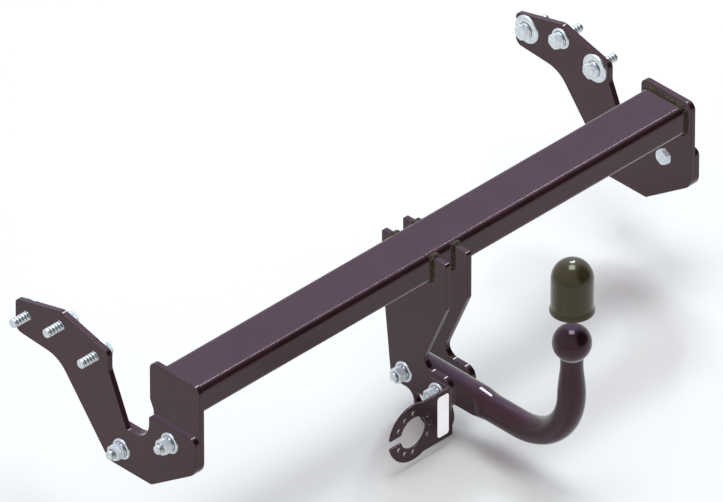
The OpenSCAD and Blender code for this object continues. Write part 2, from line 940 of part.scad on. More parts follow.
neck_bolt(neck_bolt_front_y);  // front_neck_bolt
neck_bolt(neck_bolt_y);  // rear_neck_bolt
neck_washer(neck_bolt_front_y, ear_x);  // front_neck_washer
neck_washer(neck_bolt_y, flange_x);  // rear_neck_washer
neck_spring_washer(neck_bolt_front_y, ear_x);  // front_neck_spring_washer
neck_spring_washer(neck_bolt_y, flange_x);  // rear_neck_spring_washer
neck_nut(neck_bolt_front_y, ear_x);  // front_neck_nut
neck_nut(neck_bolt_y, flange_x);  // rear_neck_nut
socket_plate();
blank_label();
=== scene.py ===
"""A fixed crossbar towbar: painted plates and tube, a forged ball neck with its cap, and zinc fasteners.

Lengths are in millimetres where nothing else is said, and MM turns them into metres. The origin is the
centre of the ball, +X runs to the car's right, +Y to the front of the car and +Z up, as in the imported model.
"""

from __future__ import annotations

import json
import logging
import math
from contextlib import contextmanager
from dataclasses import dataclass
from enum import Enum
from typing import Callable, Iterator, Sequence

import bmesh
import bpy
from mathutils import Matrix, Vector

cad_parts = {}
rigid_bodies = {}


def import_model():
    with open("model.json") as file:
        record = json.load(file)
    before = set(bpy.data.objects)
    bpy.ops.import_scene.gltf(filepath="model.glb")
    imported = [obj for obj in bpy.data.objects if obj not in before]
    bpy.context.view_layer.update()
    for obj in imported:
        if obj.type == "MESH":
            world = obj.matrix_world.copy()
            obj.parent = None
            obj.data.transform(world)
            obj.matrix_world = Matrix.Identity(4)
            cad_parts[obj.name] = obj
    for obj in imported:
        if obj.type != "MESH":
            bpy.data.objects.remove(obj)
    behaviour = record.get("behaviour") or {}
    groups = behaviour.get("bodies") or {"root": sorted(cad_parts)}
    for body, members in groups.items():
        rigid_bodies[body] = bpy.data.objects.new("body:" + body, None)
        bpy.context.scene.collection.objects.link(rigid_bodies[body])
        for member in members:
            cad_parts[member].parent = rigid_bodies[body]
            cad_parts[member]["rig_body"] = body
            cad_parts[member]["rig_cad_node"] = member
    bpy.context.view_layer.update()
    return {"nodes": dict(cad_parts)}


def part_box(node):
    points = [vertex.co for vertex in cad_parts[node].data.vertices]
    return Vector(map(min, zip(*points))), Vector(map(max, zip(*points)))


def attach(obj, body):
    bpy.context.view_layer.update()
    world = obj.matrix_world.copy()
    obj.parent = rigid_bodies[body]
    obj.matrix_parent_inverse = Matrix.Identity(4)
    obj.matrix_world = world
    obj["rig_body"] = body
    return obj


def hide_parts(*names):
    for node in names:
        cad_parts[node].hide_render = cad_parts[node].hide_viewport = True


MM = 0.001
CAD_MERGE = 0.005 * MM
LOG = logging.getLogger("towbar")

Ring = tuple[float, float]
Place = tuple[float, float, float]
Material = bpy.types.Material
Piece = bpy.types.Object
Socket = bpy.types.NodeSocket


class Body(Enum):
    """The two bodies that pieces ride on."""

    BAR = "bar"
    CAP = "cap"


class Slot(Enum):
    """The record's material slots."""

    PAINT = "black_paint"
    ZINC = "zinc"
    PLASTIC = "cap_plastic"
    WELD = "weld"
    LABEL = "label"


class Side(Enum):
    """A side of the car, with the sign of its X."""

    LEFT = -1
    RIGHT = 1

    @property
    def word(self) -> str:
        """The side's name in node names."""
        return self.name.lower()


class NodeTree:
    """A node tree, with short calls that add nodes and fill their inputs."""

    def __init__(self, tree: bpy.types.NodeTree) -> None:
        """Empties the tree.

        Args:
            tree: The tree of a material or of the world.
        """
        self.tree = tree
        tree.nodes.clear()

    def fill(self, target: Socket, value: object) -> None:
        """Joins a socket to an input, or sets the input to a plain value.

        Args:
            target: The input socket.
            value: An output socket, a number or a colour.
        """
        if isinstance(value, bpy.types.NodeSocket):
            self.tree.links.new(value, target)
        elif target.type == "RGBA":
            target.default_value = (*value, 1.0)
        else:
            target.default_value = value

    def add(self, kind: str, inputs: dict[str | int, object], **settings: object) -> bpy.types.Node:
        """Adds a node.

        Args:
            kind: The node's type, without the words that every type starts with.
            inputs: What each input is joined to or set to.
            settings: The node's other settings.

        Returns:
            The node.
        """
        node = self.tree.nodes.new(f"ShaderNode{kind}")
        for key, value in settings.items():
            setattr(node, key, value)
        for key, value in inputs.items():
            self.fill(node.inputs[key], value)
        return node

    def spread(self, value: Socket, low: float, high: float, to_low: float = 0.0,
               to_high: float = 1.0) -> Socket:
        """Maps a range of a value to another range, smoothly.

        Args:
            value: The value.
            low: Start of the range.
            high: End of the range.
            to_low: What the start becomes.
            to_high: What the end becomes.

        Returns:
            The mapped value.
        """
        inputs = dict(enumerate((value, low, high, to_low, to_high)))
        return self.add("MapRange", inputs, interpolation_type="SMOOTHSTEP").outputs["Result"]

    def along(self, first: Socket, second: object) -> Socket:
        """Compares two directions.

        Args:
            first: The first direction.
            second: The second direction, a socket or a vector.

        Returns:
            The cosine of the angle between them.
        """
        return self.add("VectorMath", {0: first, 1: second}, operation="DOT_PRODUCT").outputs["Value"]

    def blend(self, share: object, first: object, second: object) -> Socket:
        """Mixes two colours.

        Args:
            share: Share of the second colour.
            first: The first colour.
            second: The second colour.

        Returns:
            The mixed colour.
        """
        return self.add("Mix", {"Factor": share, 6: first, 7: second}, data_type="RGBA").outputs[2]


class Shader(NodeTree):
    """A material's tree, with one principled surface."""

    def __init__(self, name: str) -> None:
        """Starts the material.

        Args:
            name: The material's name.
        """
        self.material = bpy.data.materials.new(name)
        self.material.use_nodes = True
        super().__init__(self.material.node_tree)
        self.surface = self.add("BsdfPrincipled", {})
        self.add("OutputMaterial", {"Surface": self.surface.outputs["BSDF"]})
        self.place = self.add("TexCoord", {}).outputs["Object"]

    def noise(self, size: float, detail: float = 3.0, rough: float = 0.55,
              stretch: Place = (1.0, 1.0, 1.0)) -> Socket:
        """Adds a noise.

        Args:
            size: Width of a grain.
            detail: Number of finer layers.
            rough: Share of the finer layers.
            stretch: Scale along each axis.

        Returns:
            The noise's factor.
        """
        place = self.add("Mapping", {"Scale": stretch, "Vector": self.place}).outputs["Vector"]
        inputs = {"Scale": 1.0 / (size * MM), "Detail": detail, "Roughness": rough, "Vector": place}
        return self.add("TexNoise", inputs).outputs["Fac"]

    def cells(self, size: float) -> Socket:
        """Adds small cells.

        Args:
            size: Width of a cell.

        Returns:
            The distance from each cell's middle.
        """
        return self.add("TexVoronoi", {"Scale": 1.0 / (size * MM), "Vector": self.place}).outputs["Distance"]

    def times(self, first: Socket, second: Socket) -> Socket:
        """Multiplies two values.

        Args:
            first: The first value.
            second: The second value.

        Returns:
            The product.
        """
        return self.add("Math", {0: first, 1: second}, operation="MULTIPLY").outputs["Value"]

    def edge(self, width: float) -> Socket:
        """Finds the convex and concave edges.

        Args:
            width: How far from an edge the effect reaches.

        Returns:
            A value that is 0 on flats and rises to 1 at edges.
        """
        soft = self.add("Bevel", {"Radius": width * MM}, samples=4).outputs["Normal"]
        plain = self.add("NewGeometry", {}).outputs["Normal"]
        return self.spread(self.along(soft, plain), 0.99, 0.86)

    def shade(self, reach: float) -> Socket:
        """Finds the grooves and the lines where pieces meet, by their occlusion, as a mask for painted shade.

        Args:
            reach: How far the pieces' shade reaches.

        Returns:
            A value that is 1 in the open and falls towards 0 in a groove.
        """
        return self.add("AmbientOcclusion", {"Distance": reach * MM}, samples=8).outputs["AO"]

    def bump(self, height: Socket, depth: float, strength: float, under: Socket | None = None) -> Socket:
        """Turns a height into a normal.

        Args:
            height: The height, from 0 to 1.
            depth: What a height of 1 means.
            strength: Strength of the bump.
            under: A normal that this one is laid on.

        Returns:
            The normal.
        """
        node = self.add("Bump", {"Distance": depth * MM, "Strength": strength, "Height": height})
        if under is not None:
            self.fill(node.inputs["Normal"], under)
        return node.outputs["Normal"]

    def finish(self, colour: Socket, rough: object, normal: Socket, metal: float = 0.0,
               gloss: Place = (1.0, 1.0, 1.0), ior: float = 1.5) -> Material:
        """Fills the surface's inputs.

        Args:
            colour: Base colour.
            rough: Roughness.
            normal: Normal.
            metal: Metallic share.
            gloss: Tint of the gloss where the surface is seen straight on.
            ior: Index of refraction.

        Returns:
            The finished material.
        """
        for key, value in (("Base Color", colour), ("Roughness", rough), ("Normal", normal),
                           ("Metallic", metal), ("Specular Tint", gloss), ("IOR", ior)):
            self.fill(self.surface.inputs[key], value)
        return self.material


@dataclass(frozen=True)
class PaintFinish:
    """Black paint with a plum cast, a fine orange peel and slightly rubbed edges."""

    name: str
    shade: Place = (0.0165, 0.0058, 0.0060)
    light_shade: Place = (0.0215, 0.0082, 0.0092)
    rubbed: Place = (0.060, 0.045, 0.046)
    gloss: Place = (1.0, 0.60, 0.68)
    ior: float = 1.475
    rough: float = 0.13
    peel: float = 2.2
    peel_depth: float = 0.0032
    edge_width: float = 0.9

    def material(self) -> Material:
        """Builds the paint.

        Returns:
            The material.
        """
        s = Shader(self.name)
        patches = s.spread(s.noise(46.0, 4.0), 0.34, 0.68)
        colour = s.blend(patches, self.shade, self.light_shade)
        worn = s.times(s.edge(self.edge_width), s.spread(s.noise(7.0, 5.0, 0.7), 0.46, 0.66, 0.05, 0.55))
        colour = s.blend(worn, colour, self.rubbed)
        rough = s.spread(s.noise(2.4, 5.0, 0.6), 0.30, 0.70, self.rough - 0.025, self.rough + 0.045)
        peel = s.bump(s.noise(self.peel, 2.0, 0.4), self.peel_depth, 0.6)
        runs = s.bump(s.noise(16.0, 1.0, 0.3), self.peel_depth * 1.6, 0.5, peel)
        return s.finish(colour, rough, runs, gloss=self.gloss, ior=self.ior)


@dataclass(frozen=True)
class ZincFinish:
    """Bright zinc plating with a cool cast, cloudy patches, fine turning marks and painted shade in its
    grooves and where pieces meet.
    """

    name: str
    shade: Place = (0.56, 0.615, 0.61)
    cloud: Place = (0.72, 0.745, 0.80)
    shadow: Place = (0.27, 0.33, 0.31)
    painted_groove_shade: Place = (0.016, 0.024, 0.020)
    rough: float = 0.30

    def material(self) -> Material:
        """Builds the plating.

        Returns:
            The material.
        """
        s = Shader(self.name)
        clouds = s.spread(s.noise(6.0, 5.0, 0.6), 0.36, 0.66)
        colour = s.blend(clouds, self.shade, self.cloud)
        specks = s.spread(s.noise(1.1, 4.0, 0.7), 0.56, 0.72, 0.0, 0.7)
        colour = s.blend(specks, colour, self.shadow)
        # Painted shade: the colour falls to near black where the occlusion mask finds grooves and lines
        # between pieces.
        colour = s.blend(s.spread(s.shade(1.9), 0.90, 0.64), colour, self.painted_groove_shade)
        rough = s.spread(s.noise(1.8, 5.0, 0.65), 0.30, 0.70, self.rough - 0.06, self.rough + 0.14)
        marks = s.bump(s.noise(0.5, 2.0, 0.5, (0.25, 1.0, 1.0)), 0.03, 0.35)
        return s.finish(colour, rough, marks, metal=0.85)


@dataclass(frozen=True)
class PlasticFinish:
    """Black moulded plastic with an olive cast, a fine grain and light scuffs."""

    name: str
    shade: Place = (0.0260, 0.0195, 0.0085)
    scuff: Place = (0.042, 0.037, 0.022)
    rough: float = 0.16
    gloss: Place = (0.96, 0.92, 0.66)

    def material(self) -> Material:
        """Builds the plastic.

        Returns:
            The material.
        """
        s = Shader(self.name)
        scuffs = s.spread(s.noise(9.0, 6.0, 0.72, (1.0, 1.0, 0.35)), 0.56, 0.72, 0.0, 0.45)
        colour = s.blend(scuffs, self.shade, self.scuff)
        rough = s.spread(s.noise(4.0, 5.0, 0.6), 0.3, 0.7, self.rough - 0.03, self.rough + 0.07)
        grain = s.bump(s.noise(0.7, 2.0, 0.5), 0.012, 0.4)
        return s.finish(colour, rough, grain, gloss=self.gloss)


@dataclass(frozen=True)
class WeldFinish:
    """A painted weld: a dark brown bead with spatter and light specks."""

    name: str
    shade: Place = (0.0115, 0.0080, 0.0050)
    speck: Place = (0.150, 0.112, 0.066)
    gloss: Place = (0.62, 0.52, 0.38)
    rough: float = 0.68

    def material(self) -> Material:
        """Builds the weld's surface.

        Returns:
            The material.
        """
        s = Shader(self.name)
        grains = s.noise(2.1, 4.0, 0.75)
        specks = s.spread(grains, 0.46, 0.58)
        spots = s.spread(s.cells(2.2), 0.26, 0.56, 1.0, 0.05)
        colour = s.blend(s.times(specks, spots), self.shade, self.speck)
        rough = s.spread(grains, 0.3, 0.7, self.rough - 0.12, self.rough + 0.2)
        return s.finish(colour, rough, s.bump(grains, 0.5, 0.8), gloss=self.gloss)


@dataclass(frozen=True)
class LabelFinish:
    """A bare white label of coated paper."""

    name: str
    shade: Place = (0.96, 0.95, 0.965)
    dull: Place = (0.90, 0.89, 0.90)
    rough: float = 0.42
    glow: float = 0.34

    def material(self) -> Material:
        """Builds the paper, with a faint painted glow that lifts it towards white; the label is no lamp.

        Returns:
            The material.
        """
        s = Shader(self.name)
        # Painted light: the label emits a faint glow of its own colour to look brighter.
        s.fill(s.surface.inputs["Emission Color"], self.shade)
        s.fill(s.surface.inputs["Emission Strength"], self.glow)
        fibres = s.noise(0.9, 5.0, 0.7, (1.0, 1.0, 0.4))
        colour = s.blend(s.spread(s.noise(14.0, 4.0), 0.42, 0.75, 0.0, 0.7), self.shade, self.dull)
        return s.finish(colour, s.spread(fibres, 0.3, 0.7, self.rough - 0.05, self.rough + 0.1),
                        s.bump(fibres, 0.02, 0.3))


@dataclass(frozen=True)
class FloorFinish:
    """A matt, pale studio floor."""

    name: str
    shade: Place = (0.64, 0.60, 0.565)
    light_shade: Place = (0.66, 0.62, 0.585)

    def material(self) -> Material:
        """Builds the floor.

        Returns:
            The material.
        """
        s = Shader(self.name)
        colour = s.blend(s.noise(400.0, 2.0), self.shade, self.light_shade)
        return s.finish(colour, 0.9, s.bump(s.noise(3.0), 0.05, 0.1))


@dataclass(frozen=True)
class Coat:
    """A material and its slot in the record."""

    material: Material
    slot: Slot


class Finishes:
    """The coats, one for each kind of surface."""

    def __init__(self) -> None:
        """Makes the materials."""
        forged = PaintFinish("forged_plum_black_paint", gloss=(1.0, 0.62, 0.82), rough=0.125, peel=2.6,
                             peel_depth=0.005, edge_width=0.6)
        self.paint = Coat(PaintFinish("plum_black_paint").material(), Slot.PAINT)
        self.forged = Coat(forged.material(), Slot.PAINT)
        self.zinc = Coat(ZincFinish("bright_zinc").material(), Slot.ZINC)
        self.plastic = Coat(PlasticFinish("olive_black_plastic").material(), Slot.PLASTIC)
        self.weld = Coat(WeldFinish("painted_weld").material(), Slot.WELD)
        self.label = Coat(LabelFinish("bare_label").material(), Slot.LABEL)


def clear() -> None:
    """Leaves edit mode and deselects every object."""
    if bpy.context.mode != "OBJECT":
        bpy.ops.object.mode_set(mode="OBJECT")
    bpy.ops.object.select_all(action="DESELECT")


def hold(*objects: Piece) -> None:
    """Selects only these objects and makes the first one active.

    Args:
        objects: The objects.
    """
    clear()
    for obj in objects:
        obj.select_set(True)
    bpy.context.view_layer.objects.active = objects[0]


@contextmanager
def editing(obj: Piece, choose: str = "DESELECT") -> Iterator[None]:
    """Opens an object in edit mode and closes it afterwards.

    Args:
        obj: The object.
        choose: What is selected at first, SELECT or DESELECT.

    Yields:
        Nothing. The block under it runs in edit mode.
    """
    hold(obj)
    bpy.ops.object.mode_set(mode="EDIT")
    bpy.ops.mesh.select_mode(type="VERT")
    bpy.ops.mesh.select_all(action=choose)
    yield
    bpy.ops.object.mode_set(mode="OBJECT")


def pick(obj: Piece, kind: str, test: Callable[[object], bool]) -> None:
    """Selects only the vertices, edges or faces that pass a test, in edit mode.

    Args:
        obj: The object in edit mode.
        kind: verts, edges or faces.
        test: Says whether an element is chosen.
    """
    bpy.ops.mesh.select_mode(type=kind.removesuffix("s").upper())
    bpy.ops.mesh.select_all(action="DESELECT")
    mesh = bmesh.from_edit_mesh(obj.data)
    for element in [element for element in getattr(mesh, kind) if test(element)]:
        element.select_set(True)
    mesh.select_flush_mode()
    bmesh.update_edit_mesh(obj.data)


def knit(reach: float = 0.01) -> None:
    """Merges doubled vertices and points the faces outwards, in edit mode.

    Args:
        reach: How near doubled vertices lie.
    """
    bpy.ops.mesh.select_all(action="SELECT")
    bpy.ops.mesh.remove_doubles(threshold=reach * MM)
    bpy.ops.mesh.normals_make_consistent(inside=False)


def turned(name: str, rings: Sequence[Ring], sides: int, hollow: bool = False) -> Piece:
    """Turns a shape round the Z axis by extruding and scaling a ring.

    Args:
        name: The object's name.
        rings: Radius and height of each ring.
        sides: Number of sides of a ring.
        hollow: Whether the last ring is the first one again, so that a hole stays open.

    Returns:
        The new object.
    """
    clear()
    radius, height = rings[0]
    bpy.ops.mesh.primitive_circle_add(vertices=sides, radius=radius * MM,
                                      fill_type="NOTHING" if hollow else "NGON")
    obj = bpy.context.object
    obj.name = name
    with editing(obj, "SELECT"):
        bpy.ops.transform.translate(value=(0, 0, height * MM))
        for next_radius, next_height in rings[1:]:
            rise = (next_height - height) * MM
            bpy.ops.mesh.extrude_region_move(TRANSFORM_OT_translate={"value": (0, 0, rise)})
            scale = next_radius / radius
            bpy.ops.transform.resize(value=(scale, scale, 1), center_override=(0, 0, next_height * MM))
            radius, height = next_radius, next_height
        knit()
    return obj


def settle(obj: Piece, turn: Matrix) -> Piece:
    """Places an object by a matrix and moves its place into the mesh.

    Args:
        obj: The object.
        turn: Where it goes.

    Returns:
        The same object.
    """
    hold(obj)
    obj.matrix_world = turn @ obj.matrix_world
    bpy.ops.object.transform_apply()
    return obj


def copy(obj: Piece, name: str) -> Piece:
    """Copies an object with its own mesh.

    Args:
        obj: The object.
        name: The copy's name.

    Returns:
        The copy.
    """
    double = obj.copy()
    double.data = obj.data.copy()
    double.name = name
    double.parent = None
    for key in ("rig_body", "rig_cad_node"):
        if key in double:
            del double[key]
    bpy.context.scene.collection.objects.link(double)
    double.hide_render = False
    return double


def modify(obj: Piece, kind: str, **settings: object) -> Piece:
    """Adds a modifier to an object and applies it.

    Args:
        obj: The object.
        kind: The modifier's type.
        settings: Its settings.

    Returns:
        The same object.
    """
    hold(obj)
    modifier = obj.modifiers.new(kind.lower(), kind)
    for key, value in settings.items():
        setattr(modifier, key, value)
    bpy.ops.object.modifier_apply(modifier=modifier.name)
    return obj


def cut(obj: Piece, tool: Piece, way: str = "DIFFERENCE") -> Piece:
    """Cuts, joins or trims an object with a tool, and removes the tool.

    Args:
        obj: The object.
        tool: The other object.
        way: DIFFERENCE, UNION or INTERSECT.

    Returns:
        The same object.
    """
    modify(obj, "BOOLEAN", operation=way, solver="EXACT", object=tool)
    bpy.data.objects.remove(tool)
    return obj


def soften(obj: Piece, width: float, angle: float = 32.0) -> None:
    """Rounds the sharp edges of an object.

    Args:
        obj: The object.
        width: Width of the rounding.
        angle: Only edges that turn by more degrees than this are rounded.
    """
    modify(obj, "BEVEL", width=width * MM, segments=2, limit_method="ANGLE",
           angle_limit=math.radians(angle), use_clamp_overlap=False)


def smooth(obj: Piece, angle: float = 34.0) -> Piece:
    """Shades an object smooth, apart from its sharper edges.

    Args:
        obj: The object.
        angle: Edges sharper than this stay crisp, in degrees.

    Returns:
        The same object.
    """
    hold(obj)
    bpy.ops.object.shade_smooth_by_angle(angle=math.radians(angle))
    return modify(obj, "WEIGHTED_NORMAL", keep_sharp=True, weight=80)


def gather(objects: Sequence[Piece], name: str) -> Piece:
    """Joins objects into one.

    Args:
        objects: The objects.
        name: The name of the whole.

    Returns:
        The joined object.
    """
    hold(*objects)
    if len(objects) > 1:
        bpy.ops.object.join()
    whole = objects[0]
    whole.name = name
    whole.data.name = name
    return whole


def dress(obj: Piece, coat: Coat, node: str, body: Body = Body.BAR) -> None:
    """Gives a piece its material and its body, and hides the CAD node that it replaces.

    Args:
        obj: The piece.
        coat: Its material and slot.
        node: The CAD node that it replaces.
        body: The body that it rides on.
    """
    obj.data.materials.clear()
    obj.data.materials.append(coat.material)
    obj.visible_glossy = False
    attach(obj, body.value)
    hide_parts(node)
    LOG.info("%s: %d faces, rides on %s", obj.name, len(obj.data.polygons), body.value)


def along_x(x: float, y: float, z: float, sign: int) -> Matrix:
    """Places a shape drawn along +Z so that it runs along X.

    Args:
        x: Place of its zero height.
        y: Place in Y.
        z: Place in Z.
        sign: 1 for +X and -1 for -X.

    Returns:
        The matrix.
    """
    return Matrix.Translation(Vector((x, y, z)) * MM) @ Matrix.Rotation(sign * math.pi / 2, 4, "Y")


@dataclass
class Assembly:
    """A sub-assembly, with the finishes that dress it."""

    finishes: Finishes


@dataclass
class Plates(Assembly):
    """The flat plates, each a copy of its solid with softened edges."""

    edge: float = 0.7
    sheet_edge: float = 0.4
    label_edge: float = 0.15

    def softened(self, node: str, width: float) -> Piece:
        """Copies a plate and rounds its edges.

        Args:
            node: The CAD node.
            width: Width of the rounding.

        Returns:
            The plate.
        """
        plate = copy(bpy.data.objects[node], f"{node}_dressed")
        with editing(plate, "SELECT"):
            bpy.ops.mesh.remove_doubles(threshold=CAD_MERGE)
            bpy.ops.mesh.customdata_custom_splitnormals_clear()
            bpy.ops.mesh.dissolve_limited(angle_limit=math.radians(0.4))
        soften(plate, width)
        return smooth(plate)

    def build(self) -> None:
        """Makes and dresses every plate."""
        paint = self.finishes.paint
        rows = [(f"{side.word}_{part}", self.edge, paint)
                for side in Side for part in ("end_plate", "arm", "ear_plate")]
        rows += [("socket_plate", self.sheet_edge, paint),
                 ("blank_label", self.label_edge, self.finishes.label)]
        for node, width, coat in rows:
            dress(self.softened(node, width), coat, node)


@dataclass
class Welds(Assembly):
    """The beads round the tube, at the end plates and at the ears."""

    tube_depth: float = 70.0
    tube_height: float = 40.0
    wall: float = 2.0
    bead: float = 4.7
    ripple: float = 3.3
    grain: float = 2.4
    lumps: float = 1.1
    step: float = 1.1
    end_x: float = 426.0
    ear_inner_x: float = 14.5
    ear_outer_x: float = 22.5
    horn_rise: float = 15.9

    def tube_middle(self) -> Vector:
        """Returns the middle of the tube, in metres."""
        low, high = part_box("crossbar_tube")
        return (low + high) / 2

    def section(self, x: float, name: str) -> Piece:
        """Cuts the tube across and keeps the line round its outside.

        Args:
            x: Where it is cut.
            name: The object's name.

        Returns:
            An object of edges only.
        """
        middle = self.tube_middle()
        line = copy(bpy.data.objects["crossbar_tube"], name)
        with editing(line, "SELECT"):
            bpy.ops.mesh.remove_doubles(threshold=CAD_MERGE)
            bpy.ops.mesh.bisect(plane_co=(x * MM, 0, 0), plane_no=(1, 0, 0), clear_inner=True,
                                clear_outer=True)
            inner_y = (self.tube_depth / 2 - self.wall) * MM
            inner_z = (self.tube_height / 2 - self.wall) * MM
            pick(line, "verts", lambda v: abs(v.co.y - middle.y) < inner_y
                 and abs(v.co.z - middle.z) < inner_z)
            bpy.ops.mesh.delete(type="VERT")
            bpy.ops.mesh.select_all(action="SELECT")
            bpy.ops.mesh.delete(type="ONLY_FACE")
        return line

    def divide(self, line: Piece) -> None:
        """Divides the long edges of a line into short steps.

        Args:
            line: The line.
        """
        with editing(line):
            for _ in range(12):
                longest = max(e.calc_length() for e in bmesh.from_edit_mesh(line.data).edges)
                if longest < 1.7 * self.step * MM:
                    break
                pick(line, "edges", lambda e: e.calc_length() > 0.92 * longest)
                bpy.ops.mesh.subdivide(number_cuts=max(1, round(longest / (self.step * MM)) - 1))

    def beaded(self, line: Piece, name: str) -> Piece:
        """Lays a rippled bead along a line of edges.

        Args:
            line: The line.
            name: The bead's name.

        Returns:
            The bead.
        """
        self.divide(line)
        hold(line)
        bpy.ops.object.convert(target="CURVE")
        curve = bpy.context.object
        curve.data.bevel_depth = self.bead * MM
        curve.data.bevel_resolution = 3
        curve.data.use_fill_caps = True
        for spline in curve.data.splines:
            gone = 0.0
            before = spline.points[0].co.xyz
            for number, point in enumerate(spline.points):
                gone += (point.co.xyz - before).length / MM
                before = point.co.xyz.copy()
                ripple = 0.10 * abs(math.sin(math.pi * gone / self.ripple))
                sway = 0.035 * math.sin(gone * 0.37) + 0.02 * math.sin(number * 2.3)
                point.radius = 0.90 + ripple + sway
        hold(curve)
        bpy.ops.object.convert(target="MESH")
        bead = bpy.context.object
        bead.name = name
        with editing(bead, "SELECT"):
            knit(0.02)
        grain = bpy.data.textures.get("spatter") or bpy.data.textures.new("spatter", "CLOUDS")
        grain.noise_scale = self.grain * MM
        grain.noise_depth = 3
        modify(bead, "DISPLACE", texture=grain, texture_coords="LOCAL", strength=self.lumps * MM,
               mid_level=0.6)
        return smooth(bead, 60.0)

    def end_bead(self, side: Side) -> Piece:
        """Makes the bead that joins the tube to an end plate.

        Args:
            side: The side of the car.

        Returns:
            The bead.
        """
        x = side.value * (self.end_x - 0.4)
        return self.beaded(self.section(x, f"{side.word}_end_line"), f"{side.word}_end_bead")

    def ear_bead(self, side: Side) -> Piece:
        """Makes the bead that runs round an ear: under the tube on both faces and over both horns.

        Args:
            side: The side of the car.

        Returns:
            The bead.
        """
        middle = self.tube_middle()
        top = middle.z + self.horn_rise * MM
        lines = []
        for x in (self.ear_inner_x, self.ear_outer_x):
            line = self.section(side.value * x, "ear_line")
            with editing(line, "SELECT"):
                bpy.ops.mesh.bisect(plane_co=(0, 0, top), plane_no=(0, 0, 1), clear_outer=True)
            lines.append(line)
        line = gather(lines, f"{side.word}_ear_line")
        with editing(line):
            for front in (False, True):
                pick(line, "verts", lambda v, f=front: len(v.link_edges) == 1 and (v.co.y > middle.y) == f)
                bpy.ops.mesh.edge_face_add()
        return self.beaded(line, f"{side.word}_ear_bead")

    def build(self) -> None:
        """Makes and dresses every bead."""
        for side in Side:
            dress(self.end_bead(side), self.finishes.weld, f"{side.word}_end_weld")
            dress(self.ear_bead(side), self.finishes.weld, f"{side.word}_ear_welds")


@dataclass
class SwanNeck(Assembly):
    """The forged neck: ball, stem, bend, shoulder and the tongue with its two flats."""

    ball_radius: float = 25.0
    flat_radius: float = 8.5
    stem_radius: float = 14.5
    neck_radius: float = 18.0
    bend_radius: float = 90.0
    drop: float = 168.0
    tongue_radius: float = 20.5
    flat_x: float = 14.5
    flat_start: float = 155.0
    flat_slope: float = 12.0
    shoulder_length: float = 20.0
    end_y: float = 290.0
    bolts_y: tuple[float, float] = (206.5, 268.0)
    hole_radius: float = 6.5
    sides: int = 96
    steps: int = 34
    stem_top: float = -30.0
    stem_steps: int = 16
    bend_steps: int = 30
    hole_sides: int = 48
    crisp: float = 6.0

    def rings(self) -> list[Ring]:
        """Lists the ball's and the stem's rings, from the top flat down to the bend.

        Returns:
            The radius and height of each ring.
        """
        ball, stem = self.ball_radius, self.stem_radius
        top = math.asin(self.flat_radius / ball)
        low = math.pi - math.asin((stem + 1.1) / ball)
        rings = [(self.flat_radius - 0.5, ball * math.cos(top))]
        for i in range(self.steps + 1):
            a = top + (low - top) * i / self.steps
            rings.append((ball * math.sin(a), ball * math.cos(a)))
        end = rings[-1][1]
        rings += [(stem + 0.42, end - 1.0), (stem + 0.08, end - 2.4), (stem, self.stem_top)]
        reach = self.bend_radius - self.drop - self.stem_top
        for i in range(1, self.stem_steps + 1):
            t = i / self.stem_steps
            radius = stem + (self.neck_radius - stem) * t * t * (3 - 2 * t)
            rings.append((radius, self.stem_top + reach * t))
        return rings

    def forged(self) -> Piece:
        """Makes the round bar from the ball to the end of the tongue.

        Returns:
            The bar.
        """
        neck = turned("swan_neck_forging", self.rings(), self.sides)
        bend_top = (self.bend_radius - self.drop) * MM
        with editing(neck):
            pick(neck, "faces", lambda f: all(abs(v.co.z - bend_top) < 1e-5 for v in f.verts))
            bpy.ops.mesh.spin(steps=self.bend_steps, angle=-math.pi / 2, axis=(1, 0, 0),
                              center=(0, self.bend_radius * MM, bend_top))
            shoulder = self.flat_start + 2 - self.shoulder_length
            y, width = self.bend_radius, self.neck_radius
            for next_y, radius, parts in ((shoulder, self.neck_radius, 4),
                                          (shoulder + self.shoulder_length, self.tongue_radius, 6),
                                          (self.end_y - 2, self.tongue_radius, 10),
                                          (self.end_y, self.tongue_radius - 2, 1)):
                step, growth = (next_y - y) / parts, (radius - width) / parts
                for i in range(parts):
                    scale = (width + growth * (i + 1)) / (width + growth * i)
                    middle = (0, (y + step * (i + 1)) * MM, -self.drop * MM)
                    bpy.ops.mesh.extrude_region_move(TRANSFORM_OT_translate={"value": (0, step * MM, 0)})
                    bpy.ops.transform.resize(value=(scale, 1, scale), center_override=middle)
                y, width = next_y, radius
            knit()
        return neck

    def flat_cutter(self, side: Side) -> Piece:
        """Makes the block that cuts a flat and the slope behind it.

        Args:
            side: The side of the neck.

        Returns:
            The block.
        """
        clear()
        depth = 20.0
        length = self.end_y + 10 - self.flat_start
        bpy.ops.mesh.primitive_cube_add(size=1)
        block = bpy.context.object
        block.scale = (depth * MM, length * MM, 80 * MM)
        block.location = (side.value * (self.flat_x + depth / 2) * MM, (self.flat_start + length / 2) * MM,
                          -self.drop * MM)
        bpy.ops.object.transform_apply()
        slope = self.flat_slope * depth / (self.neck_radius - self.flat_x)
        with editing(block):
            pick(block, "verts", lambda v: v.co.y < (self.flat_start + 1) * MM
                 and abs(v.co.x) > (self.flat_x + 1) * MM)
            bpy.ops.transform.translate(value=(0, -slope * MM, 0))
        return block

    def hole_cutter(self, y: float) -> Piece:
        """Makes the rod that cuts a bolt hole.

        Args:
            y: The hole's place.

        Returns:
            The rod.
        """
        rod = turned("hole_cutter", [(self.hole_radius, -30), (self.hole_radius, 30)], self.hole_sides)
        return settle(rod, along_x(0, y, -self.drop, 1))

    def build(self) -> None:
        """Makes and dresses the neck."""
        neck = self.forged()
        for side in Side:
            cut(neck, self.flat_cutter(side))
        for y in self.bolts_y:
            cut(neck, self.hole_cutter(y))
        smooth(neck, self.crisp)
        dress(neck, self.finishes.forged, "swan_neck")


